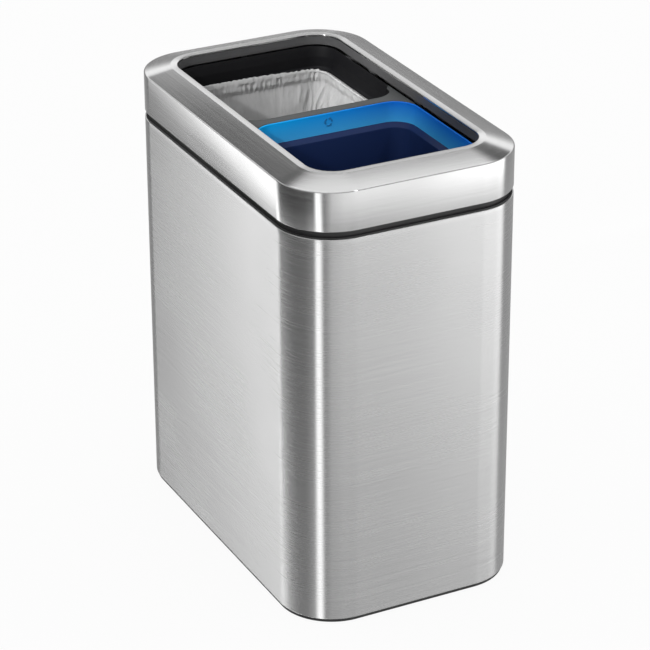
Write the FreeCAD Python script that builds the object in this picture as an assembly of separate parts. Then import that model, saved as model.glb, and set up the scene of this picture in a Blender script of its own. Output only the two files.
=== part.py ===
"""Slim open-top double recycling bin: a brushed steel body with two lift-out buckets.

Millimetres. Width runs along X, depth along Y with the narrow front at -Y, and +Z is up.
The origin is the centre of the footprint, on the floor.
"""
import FreeCAD, Part
import math
import os

V = FreeCAD.Vector

# ---- driving dimensions: the steel body --------------------------------------------
BODY_WIDTH = 247.0          # across the narrow front
BODY_DEPTH = 405.0          # front to back
CORNER_RADIUS = 57.0        # upright corners of body and rim
FOOT_HEIGHT = 4.0           # black foot line under the steel
FOOT_INSET = 1.8            # how far the foot line stands back from the steel
SHELL_HEIGHT = 409.5        # steel wrap, foot line to hem
STEEL = 0.8                 # sheet thickness
HEM_DEPTH = 5.5             # folded top edge of the wrap
HEM_ROUND = 0.6             # rounding on folded edges
FLANGE_WIDTH = 12.0         # inward fold at the bottom of the wrap
SEAM_WIDTH = 0.6            # butt weld down the middle of the back
SEAM_SINK = 0.25

# ---- driving dimensions: the rim ---------------------------------------------------
RIM_GAP = 7.5               # dark gap between body and rim
BAND_HEIGHT = 40.5          # upright band of the rim
BEZEL_WIDTH = 25.7          # sloping top face, measured on plan
BEZEL_RISE = 6.8            # how far the slope climbs inward
LIP_WIDTH = 7.0             # flat lip round the opening
LIP_TURN = 1.2              # lip edge turned down into the opening
OPENING_RADIUS = 29.0       # corners of the opening
EDGE_ROUND = 2.0            # pressed edge between band and slope
RIM_HEM = 3.0               # folded bottom edge of the band

# ---- driving dimensions: plastic walls, buckets and bag ----------------------------
WALL = 2.0                  # moulded walls
FRAME_RECESS = 0.4          # inner frame stands back under the lip
FRAME_WALL = 1.8
BUCKET_GAP = 3.2            # inner frame to bucket rim
BUCKET_DROP = 11.8          # lip down to the top of the bucket rims
BUCKET_BAND = 27.0          # upright rim of a bucket, top to shoulder
BAND_VISIBLE = 21.0         # inside of that rim, top to the sloping ledge
BUCKET_WALL = 2.0
LEDGE_SLOPE = 4.0           # height of the sloping ledge
LEDGE_STEP = 5.6            # shoulder, rim face to bucket body
BAND_DRAFT = 0.6
BODY_DRAFT = 6.4            # bucket body narrows by this on each side
BUCKET_FLOOR = 11.0         # underside of the buckets
BUCKET_FOOT_ROUND = 10.0
DIVIDER_WIDTH = 10.8        # between the two bucket rims
DIVIDER_OFFSET = -3.1       # middle of the divider, towards the front
TRASH_BAND = 15.5           # rear bucket's own rim, shoulder to top
TRASH_RIM_WALL = 1.6
RING_WALL = 1.5
RING_EDGE = 1.2             # liner ring's wall at its top edge
HORN_REACH = 18.0           # the bridge's horns, forward round the front bucket's corners
RING_LIP = 8.8              # how far the liner ring's lower lip reaches inward
BRIDGE_THICK = 3.0
FILM = 0.4                  # bag film, much thicker than life
SOFT_CLEAR = 0.3            # round the bag
FIT_CLEAR = 0.6             # round pieces that lift off

# ---- driving dimensions: collar, base and small parts ------------------------------
NECK_INSET = 3.6            # collar wall seen in the dark gap
COLLAR_SKIRT = 21.5         # collar wall inside the steel
COLLAR_FLANGE = 1.5         # lies on the steel's hem
FLANGE_INSET = 1.2
DECK = 2.5
LEDGE_PLATE = 3.0
SNAP_HEIGHT = 3.2
SNAP_WIDTH = 22.0
SNAP_PITCH = 150.0
CROSSBAR_DEPTH = 16.0
RING_WIDTH = 20.0           # black ring under the steel
RING_PLATE = 2.4
GROUND_CLEAR = 0.4          # ring clear of the floor, on its pads
PAD_RADIUS = 6.0
PAD_INSET = 13.8            # pad centres, in from the ring's round corners
PAN_FLOOR = 2.4
PAN_RIM = 9.0
SCREW_RADIUS = 1.5
SCREW_HEAD_RADIUS = 2.8
SCREW_HEAD = 1.0
SCREW_INSET = 8.0
SCREW_LENGTH = 7.0
SCREW_PLAY = 0.05
BOSS_RADIUS = 4.0
BOSS_HEIGHT = 5.0
SCREW_PITCH = 100.0         # most from one screw to the next
BUMPER_RADIUS = 4.5
BUMPER_THICK = 1.5
BUMPER_INSET = 17.0
BUMPER_PITCH = 140.0
MARK_RADIUS = 4.6           # ring of arrows moulded inside the front bucket
MARK_STROKE = 1.5
MARK_RELIEF = 0.3
MARK_NECK = 62.0            # degrees of arc before the arrow's head
MARK_TIP = 98.0             # degrees of arc to its point
MARK_DROP = 9.0             # bucket top down to the mark's middle

# ---- heights that follow -----------------------------------------------------------
SHELL_TOP = FOOT_HEIGHT + SHELL_HEIGHT
RIM_BOTTOM = SHELL_TOP + RIM_GAP
RIM_EDGE = RIM_BOTTOM + BAND_HEIGHT
LIP_TOP = RIM_EDGE + BEZEL_RISE
OPENING_INSET = BEZEL_WIDTH + LIP_WIDTH
FRAME_INSET = OPENING_INSET - FRAME_RECESS
BUCKET_INSET = FRAME_INSET + BUCKET_GAP
BUCKET_TOP = LIP_TOP - BUCKET_DROP
SHOULDER = BUCKET_TOP - BUCKET_BAND
TRASH_TOP = SHOULDER + TRASH_BAND
DIVIDER_FRONT = DIVIDER_OFFSET - DIVIDER_WIDTH / 2
DIVIDER_REAR = DIVIDER_OFFSET + DIVIDER_WIDTH / 2
SEAT_REACH = LEDGE_STEP - FIT_CLEAR         # collar ledge under a bucket shoulder
PAN_BOTTOM = FOOT_HEIGHT + STEEL
PAN_TOP = PAN_BOTTOM + PAN_FLOOR
RING_UNDER = FOOT_HEIGHT - RING_PLATE
OVER = 50.0                                 # cutters run past what they cut


# ---- outlines and solids -----------------------------------------------------------
def rounded(x0, x1, y0, y1, radius, z):
    """Closed wire of a rectangle with round corners, at height z."""
    r = max(radius, 0.05)
    corners = [(x1 - r, y1 - r, 0), (x0 + r, y1 - r, 90), (x0 + r, y0 + r, 180), (x1 - r, y0 + r, 270)]
    points = []
    for cx, cy, start in corners:
        for turn in (0, 45, 90):
            angle = math.radians(start + turn)
            points.append(V(cx + r * math.cos(angle), cy + r * math.sin(angle), z))
    edges = []
    for i in range(0, 12, 3):
        edges.append(Part.Arc(points[i], points[i + 1], points[i + 2]).toShape())
        edges.append(Part.LineSegment(points[i + 2], points[(i + 3) % 12]).toShape())
    return Part.Wire(edges)


def plan_radius(inset):
    """Corner radius at an inset: round the body outside the slope, round the opening inside it."""
    if inset < BEZEL_WIDTH:
        return CORNER_RADIUS - inset
    return OPENING_RADIUS + OPENING_INSET - inset


def plan(inset, z):
    """The body's outline, drawn in by an inset."""
    half_x = BODY_WIDTH / 2 - inset
    half_y = BODY_DEPTH / 2 - inset
    return rounded(-half_x, half_x, -half_y, half_y, plan_radius(inset), z)


def prism(wire, height):
    """Upright solid on a flat wire."""
    return Part.Face(wire).extrude(V(0, 0, height))


def block(inset, z0, z1):
    """Upright solid on the body's outline."""
    return prism(plan(inset, z0), z1 - z0)


def tube(outer, inner, z0, z1):
    """Upright wall between two insets of the body's outline."""
    return block(outer, z0, z1).cut(block(inner, z0 - 1, z1 + 1))


def loft(low, high):
    """Solid between two wires, with straight sides."""
    return Part.makeLoft([low, high], True, True)


def edges_at(shape, z):
    """Edges that lie wholly at one height."""
    found = []
    for edge in shape.Edges:
        box = edge.BoundBox
        if abs(box.ZMin - z) < 1e-4 and abs(box.ZMax - z) < 1e-4:
            found.append(edge)
    return found


def bucket_plan(front, inset, z):
    """Outline of the front or rear bucket's rim, drawn in by an inset."""
    half_x = BODY_WIDTH / 2 - BUCKET_INSET - inset
    far = BODY_DEPTH / 2 - BUCKET_INSET - inset
    radius = plan_radius(BUCKET_INSET) - inset
    if front:
        return rounded(-half_x, half_x, -far, DIVIDER_FRONT - inset, radius, z)
    return rounded(-half_x, half_x, DIVIDER_REAR + inset, far, radius, z)


def bucket_block(front, inset, z0, z1):
    """Upright solid on a bucket's outline."""
    return prism(bucket_plan(front, inset, z0), z1 - z0)


def along_sides(inset, pitch):
    """Even places along each side, clear of the corners, at an inset and no further apart than a pitch."""
    half_x = BODY_WIDTH / 2 - inset
    half_y = BODY_DEPTH / 2 - inset
    run_y = BODY_DEPTH - 2 * CORNER_RADIUS
    run_x = BODY_WIDTH - 2 * CORNER_RADIUS
    along = math.ceil(run_y / pitch)
    across = math.ceil(run_x / pitch)
    places = []
    for i in range(along):
        y = -run_y / 2 + run_y * (i + 0.5) / along
        places += [(-half_x, y), (half_x, y)]
    for i in range(across):
        x = -run_x / 2 + run_x * (i + 0.5) / across
        places += [(x, -half_y), (x, half_y)]
    return places


def screw_places():
    """Where the screws go up through ring and steel into the floor pan."""
    return along_sides(SCREW_INSET, SCREW_PITCH)


def cylinder(radius, height, x, y, z):
    """Upright cylinder."""
    return Part.makeCylinder(radius, height, V(x, y, z))


def drilled(shape, radius, z0, z1):
    """A shape with a hole at each screw's place."""
    for x, y in screw_places():
        shape = shape.cut(cylinder(radius, z1 - z0, x, y, z0))
    return shape


# ---- the steel body ----------------------------------------------------------------
def body_shell():
    """Wrap of thin steel: hemmed at the top, folded inward at the bottom, welded at the back."""
    wrap = block(0, FOOT_HEIGHT, SHELL_TOP)
    wrap = wrap.makeFillet(HEM_ROUND, edges_at(wrap, SHELL_TOP))
    wrap = wrap.cut(block(STEEL, PAN_BOTTOM, SHELL_TOP - HEM_DEPTH))
    wrap = wrap.cut(block(2 * STEEL, SHELL_TOP - HEM_DEPTH - 1, SHELL_TOP + 1))
    wrap = wrap.cut(block(FLANGE_WIDTH, FOOT_HEIGHT - 1, PAN_BOTTOM + 1))
    seam = Part.makeBox(SEAM_WIDTH, 2 * SEAM_SINK, SHELL_HEIGHT - HEM_DEPTH - STEEL)
    seam.translate(V(-SEAM_WIDTH / 2, BODY_DEPTH / 2 - SEAM_SINK, PAN_BOTTOM))
    wrap = wrap.cut(seam)
    return drilled(wrap, SCREW_RADIUS + SCREW_PLAY, FOOT_HEIGHT - 1, PAN_BOTTOM + 1)


def base_ring():
    """Black ring under the steel, seen as the foot line: a channel open downwards."""
    outer = FOOT_INSET
    inner = FOOT_INSET + RING_WIDTH
    ring = tube(outer, inner, GROUND_CLEAR, FOOT_HEIGHT)
    ring = ring.cut(tube(outer + WALL, inner - WALL, GROUND_CLEAR - 1, RING_UNDER))
    return drilled(ring, SCREW_RADIUS + SCREW_PLAY, RING_UNDER - 1, FOOT_HEIGHT + 1)


def base_pan():
    """Floor of the bin, lying on the steel's inward fold, with a low rim and screw bosses."""
    edge = STEEL + FIT_CLEAR
    pan = block(edge, PAN_BOTTOM, PAN_TOP)
    pan = pan.fuse(tube(edge, edge + WALL, PAN_TOP, PAN_BOTTOM + PAN_RIM))
    for x, y in screw_places():
        pan = pan.fuse(cylinder(BOSS_RADIUS, BOSS_HEIGHT, x, y, PAN_TOP))
    pan = drilled(pan, SCREW_RADIUS + SCREW_PLAY, PAN_BOTTOM - 1, RING_UNDER + SCREW_LENGTH + 1)
    return pan.removeSplitter()


def foot_pad(x_side, y_side):
    """Soft pad pressed into a corner of the base ring; the bin stands on four."""
    from_corner = CORNER_RADIUS - (CORNER_RADIUS - PAD_INSET) * math.sqrt(0.5)
    x = x_side * (BODY_WIDTH / 2 - from_corner)
    y = y_side * (BODY_DEPTH / 2 - from_corner)
    return cylinder(PAD_RADIUS, RING_UNDER, x, y, 0)


def base_screws():
    """Pan-head screws from below, through ring and steel fold into the pan's bosses."""
    screws = []
    for x, y in screw_places():
        head = cylinder(SCREW_HEAD_RADIUS, SCREW_HEAD, x, y, RING_UNDER - SCREW_HEAD)
        screws.append(head.fuse(cylinder(SCREW_RADIUS, SCREW_LENGTH, x, y, RING_UNDER)))
    return Part.makeCompound(screws)


def collar():
    """Black moulding clipped into the steel: it carries the rim and both buckets."""
    skirt_out = 2 * STEEL + SOFT_CLEAR
    skirt_in = NECK_INSET + WALL
    ledge_under = SHOULDER - LEDGE_PLATE
    upstand_out = FRAME_INSET - WALL
    body = tube(skirt_out, skirt_in, SHELL_TOP - COLLAR_SKIRT, SHELL_TOP)
    body = body.fuse(tube(FLANGE_INSET, skirt_in, SHELL_TOP, SHELL_TOP + COLLAR_FLANGE))
    body = body.fuse(tube(NECK_INSET, skirt_in, SHELL_TOP, RIM_BOTTOM))
    body = body.fuse(tube(NECK_INSET, upstand_out + WALL, RIM_BOTTOM - DECK, RIM_BOTTOM))
    body = body.fuse(tube(upstand_out, upstand_out + WALL, RIM_BOTTOM - DECK, SHOULDER))
    register_out = NECK_INSET + FIT_CLEAR
    register_top = RIM_BOTTOM + RIM_HEM + WALL
    body = body.fuse(tube(register_out, register_out + WALL, RIM_BOTTOM - DECK, register_top))
    body = body.fuse(block(upstand_out, ledge_under, SHOULDER))
    stem = Part.makeBox(BODY_WIDTH - 2 * upstand_out - 2 * WALL, WALL, CROSSBAR_DEPTH)
    stem.translate(V(-BODY_WIDTH / 2 + upstand_out + WALL, DIVIDER_OFFSET - WALL / 2,
                     ledge_under - CROSSBAR_DEPTH))
    body = body.fuse(stem)
    for front in (True, False):
        body = body.cut(bucket_block(front, SEAT_REACH, ledge_under - OVER, SHOULDER + 1))
    snap_top = SHELL_TOP - HEM_DEPTH - SOFT_CLEAR
    for x, y in along_sides(STEEL + SOFT_CLEAR, SNAP_PITCH):
        deep = skirt_out - STEEL - SOFT_CLEAR + WALL / 2
        on_long_side = abs(x) > BODY_WIDTH / 2 - CORNER_RADIUS
        size_x = deep if on_long_side else SNAP_WIDTH
        size_y = SNAP_WIDTH if on_long_side else deep
        low_x = x - size_x / 2 if not on_long_side else (x if x < 0 else x - deep)
        low_y = y - size_y / 2 if on_long_side else (y if y < 0 else y - deep)
        snap = Part.makeBox(size_x, size_y, SNAP_HEIGHT, V(low_x, low_y, snap_top - SNAP_HEIGHT))
        body = body.fuse(snap)
    return body.removeSplitter()


# ---- the rim -----------------------------------------------------------------------
def rim_envelope(inset, bottom, thickness):
    """Solid under the rim's band, slope and lip, drawn in by an inset and a thickness."""
    edge = RIM_EDGE - thickness
    lip = LIP_TOP - thickness
    body = block(inset, bottom, edge)
    slope = loft(plan(inset, edge), plan(BEZEL_WIDTH, lip))
    return body.fuse(slope).removeSplitter()


def steel_rim():
    """One pressing: upright band, rounded edge, slope and flat lip turned down at the opening."""
    rim = rim_envelope(0, RIM_BOTTOM, 0)
    rim = rim.makeFillet(EDGE_ROUND, edges_at(rim, RIM_EDGE))
    rim = rim.makeFillet(HEM_ROUND, edges_at(rim, RIM_BOTTOM))
    cavity = rim_envelope(STEEL, RIM_BOTTOM + RIM_HEM, STEEL)
    turn = tube(OPENING_INSET - STEEL, OPENING_INSET + 1, LIP_TOP - STEEL - LIP_TURN, LIP_TOP)
    rim = rim.cut(cavity)
    rim = rim.cut(block(2 * STEEL, RIM_BOTTOM - 1, RIM_BOTTOM + RIM_HEM + 1))
    rim = rim.fuse(turn)
    rim = rim.cut(block(OPENING_INSET, RIM_BOTTOM - 1, LIP_TOP + 1))
    return rim.removeSplitter()


def rim_inner_frame():
    """Dark grey moulding that stiffens the steel rim and lines the opening."""
    outer = STEEL + SOFT_CLEAR
    under = STEEL + SOFT_CLEAR
    bottom = RIM_BOTTOM + RIM_HEM
    wall_out = FRAME_INSET - FRAME_WALL
    wall_low = BUCKET_TOP + FIT_CLEAR
    wall_top = LIP_TOP - STEEL - LIP_TURN - SOFT_CLEAR
    body = rim_envelope(outer, bottom, under)
    hollow = rim_envelope(outer + WALL, bottom - 1, under + WALL)
    hollow = hollow.cut(block(wall_out, bottom - 1, LIP_TOP))
    body = body.cut(hollow)
    body = body.cut(block(wall_out - 0.01, bottom - 1, wall_low))
    body = body.cut(block(FRAME_INSET, bottom - 1, LIP_TOP + 1))
    body = body.cut(tube(OPENING_INSET - STEEL - SOFT_CLEAR, FRAME_INSET + 1, wall_top, LIP_TOP))
    foot = RIM_BOTTOM + BUMPER_THICK
    under_slope = rim_envelope(outer, foot, under + WALL / 2)
    for x, y in along_sides(BUMPER_INSET, BUMPER_PITCH):
        body = body.fuse(cylinder(BUMPER_RADIUS, LIP_TOP - foot, x, y, foot).common(under_slope))
    return body.removeSplitter()


def rim_bumpers():
    """Soft pads under the frame's posts; they set the dark gap and stop rattling."""
    pads = []
    for x, y in along_sides(BUMPER_INSET, BUMPER_PITCH):
        pads.append(cylinder(BUMPER_RADIUS, BUMPER_THICK, x, y, RIM_BOTTOM))
    return Part.makeCompound(pads)


# ---- buckets, bag and liner ring ---------------------------------------------------
def bucket_outside(front, top):
    """Outer form of a bucket: upright rim, flat shoulder and a body that narrows downwards."""
    rim = bucket_block(front, 0, SHOULDER, top)
    low = bucket_plan(front, LEDGE_STEP + BODY_DRAFT, BUCKET_FLOOR)
    body = loft(low, bucket_plan(front, LEDGE_STEP, SHOULDER))
    body = body.makeFillet(BUCKET_FOOT_ROUND, edges_at(body, BUCKET_FLOOR))
    return rim.fuse(body)


def bucket_hollow(front, inset, floor, top):
    """Space inside a bucket's body, tapered like its outside, from a floor to a top."""
    inside = LEDGE_STEP + inset
    low = bucket_plan(front, inside + BODY_DRAFT, floor)
    body = loft(low, bucket_plan(front, inside, top))
    return body.makeFillet(BUCKET_FOOT_ROUND - BUCKET_WALL, edges_at(body, floor))


def recycling_band(inset):
    """Space inside the front bucket's rim, drawn in by an inset."""
    low = BUCKET_TOP - BAND_VISIBLE
    return loft(bucket_plan(True, BUCKET_WALL + BAND_DRAFT + inset, low),
                bucket_plan(True, BUCKET_WALL + inset, BUCKET_TOP))


def recycling_bucket():
    """Front bucket, blue: rim, sloping ledge and body in one moulding."""
    ledge_high = BUCKET_TOP - BAND_VISIBLE
    ledge_low = ledge_high - LEDGE_SLOPE
    ledge = loft(bucket_plan(True, LEDGE_STEP + BUCKET_WALL, ledge_low),
                 bucket_plan(True, BUCKET_WALL + BAND_DRAFT, ledge_high))
    body = bucket_outside(True, BUCKET_TOP)
    body = body.cut(bucket_hollow(True, BUCKET_WALL, BUCKET_FLOOR + BUCKET_WALL, ledge_low))
    body = body.cut(ledge).cut(recycling_band(0))
    return body.removeSplitter()


def mark_arrow(turn):
    """One third of a ring of arrows: an arc with a pointed end, in the XZ plane."""
    def spot(radius, degrees):
        angle = math.radians(degrees + turn)
        return V(radius * math.cos(angle), 0, radius * math.sin(angle))
    inner = MARK_RADIUS - MARK_STROKE
    middle = MARK_RADIUS - MARK_STROKE / 2
    tail, neck, tip = 0, MARK_NECK, MARK_TIP
    edges = [
        Part.Arc(spot(MARK_RADIUS, tail), spot(MARK_RADIUS, neck / 2), spot(MARK_RADIUS, neck)).toShape(),
        Part.LineSegment(spot(MARK_RADIUS, neck), spot(MARK_RADIUS + MARK_STROKE / 2, neck)).toShape(),
        Part.LineSegment(spot(MARK_RADIUS + MARK_STROKE / 2, neck), spot(middle, tip)).toShape(),
        Part.LineSegment(spot(middle, tip), spot(inner - MARK_STROKE / 2, neck)).toShape(),
        Part.LineSegment(spot(inner - MARK_STROKE / 2, neck), spot(inner, neck)).toShape(),
        Part.Arc(spot(inner, neck), spot(inner, neck / 2), spot(inner, tail)).toShape(),
        Part.LineSegment(spot(inner, tail), spot(MARK_RADIUS, tail)).toShape(),
    ]
    return Part.Face(Part.Wire(edges))


def recycling_mark():
    """Three chasing arrows, raised a little on the inside of the front bucket's rear wall."""
    skin = recycling_band(0).cut(recycling_band(MARK_RELIEF))
    arrows = []
    for turn in (0, 120, 240):
        face = mark_arrow(turn)
        face.translate(V(0, DIVIDER_FRONT, BUCKET_TOP - MARK_DROP))
        prism_back = face.extrude(V(0, -BUCKET_WALL - BAND_DRAFT - 2 * MARK_RELIEF, 0))
        arrows.append(prism_back.common(skin).Solids[0])
    return Part.makeCompound(arrows)


def trash_bucket():
    """Rear bucket, black: a plain rim that takes the bag's edge, and a tapering body."""
    step_top = SHOULDER + BUCKET_WALL
    body = bucket_outside(False, TRASH_TOP)
    body = body.cut(bucket_block(False, TRASH_RIM_WALL, step_top, TRASH_TOP + 1))
    body = body.cut(bucket_hollow(False, BUCKET_WALL, BUCKET_FLOOR + BUCKET_WALL, step_top))
    return body.removeSplitter()


def bag_space(grow, top):
    """Space inside the bag where it lines the rear bucket; grow adds the film to it."""
    step = SHOULDER + BUCKET_WALL + SOFT_CLEAR + FILM - grow
    band = bucket_block(False, TRASH_RIM_WALL + SOFT_CLEAR + FILM - grow, step, top)
    floor = BUCKET_FLOOR + BUCKET_WALL + SOFT_CLEAR + FILM - grow
    return band.fuse(bucket_hollow(False, BUCKET_WALL + SOFT_CLEAR + FILM - grow, floor, step))


def trash_bag():
    """Plain form of the bag: it lines the bucket and its edge is laid over the bucket's rim."""
    edge_low = TRASH_TOP + SOFT_CLEAR
    edge_high = edge_low + FILM
    bag = bag_space(FILM, edge_high)
    edge = bucket_block(False, SOFT_CLEAR, edge_low, edge_high)
    bag = bag.fuse(edge).cut(bag_space(0, edge_high + 1))
    return bag.removeSplitter()


def bridge_zone(x0, x1):
    """Space of the bridge between two widths, ahead of the ring's straight sides."""
    behind = DIVIDER_REAR + plan_radius(BUCKET_INSET)
    space = Part.makeBox(x1 - x0, BODY_DEPTH, OVER)
    space.translate(V(x0, behind - BODY_DEPTH, BUCKET_TOP - BRIDGE_THICK))
    return space


def ring_with_bridge():
    """The ring that traps the bag's edge and the bridge that lies on it, before they are parted."""
    band_low = TRASH_TOP + 2 * SOFT_CLEAR + FILM
    skirt = TRASH_RIM_WALL + 2 * SOFT_CLEAR + FILM
    lip_low = SHOULDER + BUCKET_WALL + 2 * SOFT_CLEAR + FILM
    lip_high = BUCKET_TOP - BAND_VISIBLE
    inner = skirt + RING_WALL
    ring = bucket_block(False, 0, band_low, BUCKET_TOP)
    ring = ring.fuse(bucket_block(False, skirt, lip_low, band_low))
    bridge_low = BUCKET_TOP - BRIDGE_THICK
    bridge = block(BUCKET_INSET, bridge_low, BUCKET_TOP).common(bridge_zone(-BODY_WIDTH / 2, BODY_WIDTH / 2))
    ahead = Part.makeBox(BODY_WIDTH, BODY_DEPTH, OVER)
    ahead.translate(V(-BODY_WIDTH / 2, DIVIDER_FRONT - HORN_REACH - BODY_DEPTH, bridge_low - OVER / 2))
    bridge = bridge.cut(ahead)
    bridge = bridge.cut(bucket_block(True, -FIT_CLEAR, bridge_low - 1, BUCKET_TOP + 1))
    ring = ring.fuse(bridge)
    steps = [(RING_LIP, lip_low), (inner + BAND_DRAFT, lip_high), (inner, band_low), (RING_EDGE, BUCKET_TOP)]
    for (low_inset, low_z), (high_inset, high_z) in zip(steps, steps[1:]):
        ring = ring.cut(loft(bucket_plan(False, low_inset, low_z), bucket_plan(False, high_inset, high_z)))
    return ring.removeSplitter()


def trash_liner_ring():
    """Dark ring that traps the bag's edge; its front is lower by the bridge's thickness."""
    return ring_with_bridge().cut(bridge_zone(-BODY_WIDTH / 2, BODY_WIDTH / 2)).removeSplitter()


def bucket_bridge():
    """Flat plate between the two buckets, seated on the ring, with a horn round each front bucket corner."""
    whole = ring_with_bridge()
    half = BODY_WIDTH / 2
    straight = half - BUCKET_INSET - plan_radius(BUCKET_INSET)
    plates = []
    for x0, x1 in ((-half, -straight), (-straight, straight), (straight, half)):
        plates.append(whole.common(bridge_zone(x0, x1)).Solids[0])
    return Part.makeCompound(plates)


# ---- every sub-part ----------------------------------------------------------------
def sub_parts():
    """Node name and shape of each separate piece."""
    pieces = {
        "body_shell": body_shell(),
        "base_ring": base_ring(),
        "base_pan": base_pan(),
        "base_screws": base_screws(),
        "collar": collar(),
        "steel_rim": steel_rim(),
        "rim_inner_frame": rim_inner_frame(),
        "rim_bumpers": rim_bumpers(),
        "recycling_bucket": recycling_bucket(),
        "recycling_mark": recycling_mark(),
        "trash_bucket": trash_bucket(),
        "trash_bag": trash_bag(),
        "trash_liner_ring": trash_liner_ring(),
        "bucket_bridge": bucket_bridge(),
    }
    for y_name, y_side in (("front", -1), ("rear", 1)):
        for x_name, x_side in (("left", -1), ("right", 1)):
            pieces["foot_pad_" + y_name + "_" + x_name] = foot_pad(x_side, y_side)
    return pieces


def main():
    """Write one STEP file for each sub-part."""
    os.makedirs("parts", exist_ok=True)
    for name, shape in sub_parts().items():
        shape.exportStep("parts/" + name + ".step")
        box = shape.BoundBox
        print(name, len(shape.Solids), shape.isValid(), round(shape.Volume),
              [round(v, 2) for v in (box.XMin, box.YMin, box.ZMin, box.XMax, box.YMax, box.ZMax)])


main()
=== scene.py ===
# %% [markdown]
# # A slim double recycling bin
#
# This lesson dresses a bin that is already built to size: a brushed steel body and rim, a blue
# bucket in front, a black bucket behind with a film bag, and a dark ring that holds the bag's
# edge. The built model comes in as a fixed frame of named pieces. The body, the rim, the blue
# bucket, the ring and the bridge on it get fine meshes of the same sizes, and the bag is modelled
# as a thin wrinkled film. Each remaining piece, the black bucket among them, keeps its shape and
# gets a real finish.

# %% Load the frame and note its box
import math

import bmesh
import bpy
from mathutils import Matrix, Quaternion, Vector
from mathutils.noise import noise as noise_at


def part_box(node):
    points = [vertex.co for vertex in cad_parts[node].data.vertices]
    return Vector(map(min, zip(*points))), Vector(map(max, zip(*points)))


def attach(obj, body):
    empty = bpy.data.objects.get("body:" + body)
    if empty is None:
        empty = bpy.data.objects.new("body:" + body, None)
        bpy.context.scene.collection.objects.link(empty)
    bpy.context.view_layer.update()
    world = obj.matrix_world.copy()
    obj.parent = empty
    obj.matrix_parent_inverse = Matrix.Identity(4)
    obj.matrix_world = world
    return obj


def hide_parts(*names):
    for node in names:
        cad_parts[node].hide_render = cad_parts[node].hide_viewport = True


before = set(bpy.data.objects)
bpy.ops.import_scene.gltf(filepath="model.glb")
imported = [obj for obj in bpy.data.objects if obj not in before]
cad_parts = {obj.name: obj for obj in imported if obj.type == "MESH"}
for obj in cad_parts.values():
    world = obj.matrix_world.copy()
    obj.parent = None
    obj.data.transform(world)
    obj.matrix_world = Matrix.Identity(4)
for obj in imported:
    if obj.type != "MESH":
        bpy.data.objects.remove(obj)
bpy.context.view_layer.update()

# %% [markdown]
# ## Sizes
#
# Blender works in metres here and a bin maker in millimetres, so every size is written as a
# number of millimetres times MM. Heights and half widths are read from the frame's own pieces.
# What a box can't tell, such as corner radii and sheet thickness, is named once below.

# %% Sizes of steel, buckets and ring
MM = 0.001
shell_low, shell_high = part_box("body_shell")
rim_low, rim_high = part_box("steel_rim")
front_low, front_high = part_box("recycling_bucket")
rear_low, rear_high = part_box("trash_bucket")
ring_low, ring_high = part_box("trash_liner_ring")
bag_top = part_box("trash_bag")[1].z

HALF_WIDTH = shell_high.x
HALF_DEPTH = shell_high.y
SHEET = 0.8 * MM                 # steel sheet
CORNER = 57 * MM                 # upright corners
HEM = 5.5 * MM                   # folded top edge of the body
FOLD = 0.75 * MM                 # outside radius of a folded edge
FLANGE = 12 * MM                 # inward fold at the body's foot
FOOT_BEND = 0.9 * MM             # bend between the body's outside and that fold
INNER_BEND = 0.1 * MM            # inside of a tight fold
SEAM_HALF = 0.3 * MM             # half width of the weld down the middle of the back
SEAM_SINK = 0.25 * MM            # depth of its groove
SEAM_BOTTOM = 0.4                # flat bottom of the groove, as a share of its width
SEAM_STOP = 0.05 * MM            # the groove runs out in this height below the hem
BAND = 40.5 * MM                 # upright band of the rim
BAND_ROUND = 2 * MM              # pressed edge between band and slope
SLOPE = 25.7 * MM                # sloping top face, on plan
LIP = 7 * MM                     # flat lip round the opening
LIP_DROP = 2 * MM                # its edge, turned down into the opening
RIM_HEM = 3 * MM                 # folded lower edge of the band
LIP_BEND = 1 * MM                # bend between slope and lip
LIP_ROUND = 0.5 * MM             # bend between lip and turned-down edge
BACK_BEND = 0.3 * MM             # the rim's bends seen from inside
CUT_ROUND = 0.15 * MM            # smoothed cut edge
OPENING_CORNER = 29 * MM
WALL = 2 * MM                    # walls of the buckets
RIM_INSET = HALF_WIDTH - front_high.x
RIM_CORNER = OPENING_CORNER + SLOPE + LIP - RIM_INSET
print("bucket rims stand", round(RIM_INSET / MM, 2), "mm inside the body")
print("their corners are", round(RIM_CORNER / MM, 2), "mm")

# %% [markdown]
# ## How the meshes are made
#
# Everything that shows on this bin runs round a rectangle with round corners. So one tool makes
# most pieces: a loop of points round such a rectangle, repeated along a profile (the cut you
# would see with a saw), and joined with quads. The profile's corners are rounded first, because
# real folded or moulded edges are never sharp, and it is those small rounds that catch the light.
# The loops also give each face a UV: along the loop in U and along the profile in V, both in
# metres, which tells brushed steel which way its grain runs.

# %% Loops, profiles and the lofting tool
CORNER_STEPS = 22                # spans in each quarter turn
SHARP_FROM = math.radians(40)    # edges that turn more than this are shaded sharp


def up(z):
    return Vector((0, 0, z))


def round_loop(x0, x1, y0, y1, radius, z):
    """Points anticlockwise round a rectangle with round corners, from the middle of its rear side."""
    r = max(radius, 0.05 * MM)
    points = [Vector(((x0 + x1) / 2, y1, z))]
    corners = ((x0 + r, y1 - r, 90), (x0 + r, y0 + r, 180), (x1 - r, y0 + r, 270), (x1 - r, y1 - r, 0))
    for cx, cy, start in corners:
        for i in range(CORNER_STEPS + 1):
            turn = math.radians(start + 90 * i / CORNER_STEPS)
            points.append(Vector((cx + r * math.cos(turn), cy + r * math.sin(turn), z)))
    return points


def steel_corner(inset):
    """Corner radius of the steel: it tightens evenly up the slope, then follows the opening."""
    if inset < SLOPE:
        return CORNER - inset * (CORNER - OPENING_CORNER - LIP) / SLOPE
    return OPENING_CORNER + LIP + SLOPE - inset


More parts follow.
